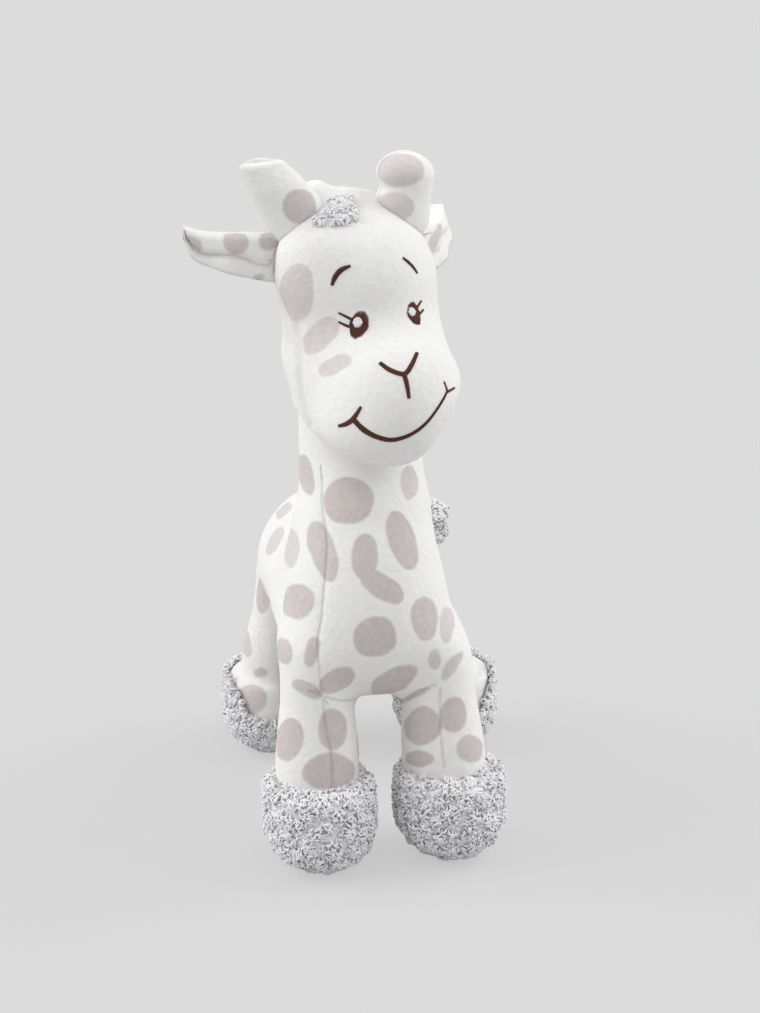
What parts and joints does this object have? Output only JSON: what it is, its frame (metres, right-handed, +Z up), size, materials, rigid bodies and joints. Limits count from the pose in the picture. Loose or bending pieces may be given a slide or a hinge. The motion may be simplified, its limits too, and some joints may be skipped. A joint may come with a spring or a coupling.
{
  "type": "plush giraffe",
  "caption": "Soft stuffed giraffe standing on four legs, of spotted short-pile cloth, with curly terry feet, mane and tail tuft and an embroidered smiling face.",
  "frame": {"origin": "on the surface that the giraffe stands on, under the middle of its bounding box", "axes": "+Z up, -Y the way the giraffe faces, +X its left side"},
  "size_m": [0.1462, 0.1964, 0.3006],
  "materials": {
    "printed_pile": "short velvety pile, warm white printed with taupe-grey giraffe spots",
    "white_pile": "short velvety pile, plain warm white",
    "grey_terry": "curly looped terry, lilac grey",
    "brown_thread": "satin-stitched rayon thread, dark brown, slight gloss",
    "white_thread": "satin-stitched thread, white",
    "stuffing": "polyester fibre fill"
  },
  "bodies": {
    "torso": {"torso_stuffing": "stuffing", "chest_panel": "printed_pile", "belly_panel": "printed_pile", "torso_panel_right": "printed_pile", "torso_panel_left": "printed_pile"},
    "neck": {"neck_stuffing": "stuffing", "neck_panel_front": "printed_pile", "neck_panel_right": "printed_pile", "neck_panel_left": "printed_pile", "mane_neck": "grey_terry"},
    "head": {"head_stuffing": "stuffing", "face_panel": "white_pile", "head_panel_right": "printed_pile", "head_panel_left": "printed_pile", "mane_crown": "grey_terry", "eye_right": "brown_thread", "eye_glint_right": "white_thread", "brow_right": "brown_thread", "eye_left": "brown_thread", "eye_glint_left": "white_thread", "brow_left": "brown_thread", "nose": "brown_thread", "mouth": "brown_thread"},
    "horn_right": {"horn_right_stuffing": "stuffing", "horn_right_front_panel": "printed_pile", "horn_right_back_panel": "printed_pile"},
    "horn_left": {"horn_left_stuffing": "stuffing", "horn_left_front_panel": "printed_pile", "horn_left_back_panel": "printed_pile"},
    "ear_right": {"ear_right_outer": "printed_pile", "ear_right_lining": "printed_pile"},
    "ear_left": {"ear_left_outer": "printed_pile", "ear_left_lining": "printed_pile"},
    "tail": {"tail_stem": "printed_pile", "tail_tuft": "grey_terry"},
    "leg_front_right": {"leg_front_right_stuffing": "stuffing", "leg_front_right_panel_right": "printed_pile", "leg_front_right_panel_left": "printed_pile", "foot_front_right_upper": "grey_terry", "foot_front_right_sole": "grey_terry"},
    "leg_front_left": {"leg_front_left_stuffing": "stuffing", "leg_front_left_panel_right": "printed_pile", "leg_front_left_panel_left": "printed_pile", "foot_front_left_upper": "grey_terry", "foot_front_left_sole": "grey_terry"},
    "leg_hind_right": {"leg_hind_right_stuffing": "stuffing", "leg_hind_right_panel_right": "printed_pile", "leg_hind_right_panel_left": "printed_pile", "foot_hind_right_upper": "grey_terry", "foot_hind_right_sole": "grey_terry"},
    "leg_hind_left": {"leg_hind_left_stuffing": "stuffing", "leg_hind_left_panel_right": "printed_pile", "leg_hind_left_panel_left": "printed_pile", "foot_hind_left_upper": "grey_terry", "foot_hind_left_sole": "grey_terry"}
  },
  "joints": [
    {"name": "neck_bend", "type": "hinge", "parent": "torso", "child": "neck", "pos_m": [0.00178, -0.03804, 0.136], "axis": [1, 0, 0], "range_deg": [-8, 8], "stiffness_Nm_per_rad": 1.2},
    {"name": "head_turn", "type": "hinge", "parent": "neck", "child": "head", "pos_m": [0.00038, -0.02704, 0.205], "axis": [0, 0, 1], "range_deg": [-20, 20], "stiffness_Nm_per_rad": 0.4},
    {"name": "horn_right_bend", "type": "hinge", "parent": "head", "child": "horn_right", "pos_m": [-0.02137, -0.03636, 0.27055], "axis": [-0.1908, 0.9816, 0], "range_deg": [-10, 10], "stiffness_Nm_per_rad": 0.05},
    {"name": "horn_left_bend", "type": "hinge", "parent": "head", "child": "horn_left", "pos_m": [0.0178, -0.02875, 0.27334], "axis": [-0.1908, 0.9816, 0], "range_deg": [-10, 10], "stiffness_Nm_per_rad": 0.05},
    {"name": "ear_right_flap", "type": "hinge", "parent": "head", "child": "ear_right", "pos_m": [-0.03577, -0.02999, 0.25461], "axis": [-0.0685, -0.0133, 0.9976], "range_deg": [-20, 20], "stiffness_Nm_per_rad": 0.02},
    {"name": "ear_left_flap", "type": "hinge", "parent": "head", "child": "ear_left", "pos_m": [0.02935, -0.01733, 0.25925], "axis": [-0.0685, -0.0133, 0.9976], "range_deg": [-30, 5], "stiffness_Nm_per_rad": 0.02},
    {"name": "tail_swing", "type": "hinge", "parent": "torso", "child": "tail", "pos_m": [0.01578, 0.06496, 0.112], "axis": [0, 0, 1], "range_deg": [-12, 12], "stiffness_Nm_per_rad": 0.03},
    {"name": "leg_front_right_swing", "type": "hinge", "parent": "torso", "child": "leg_front_right", "pos_m": [-0.02322, -0.06204, 0.092], "axis": [1, 0, 0], "range_deg": [-8, 8], "stiffness_Nm_per_rad": 0.8},
    {"name": "leg_front_left_swing", "type": "hinge", "parent": "torso", "child": "leg_front_left", "pos_m": [0.02828, -0.06004, 0.092], "axis": [1, 0, 0], "range_deg": [-8, 8], "stiffness_Nm_per_rad": 0.8},
    {"name": "leg_hind_right_swing", "type": "hinge", "parent": "torso", "child": "leg_hind_right", "pos_m": [-0.02372, 0.03496, 0.09], "axis": [1, 0, 0], "range_deg": [-8, 8], "stiffness_Nm_per_rad": 0.8},
    {"name": "leg_hind_left_swing", "type": "hinge", "parent": "torso", "child": "leg_hind_left", "pos_m": [0.02928, 0.03496, 0.09], "axis": [1, 0, 0], "range_deg": [-8, 8], "stiffness_Nm_per_rad": 0.8}
  ]
}
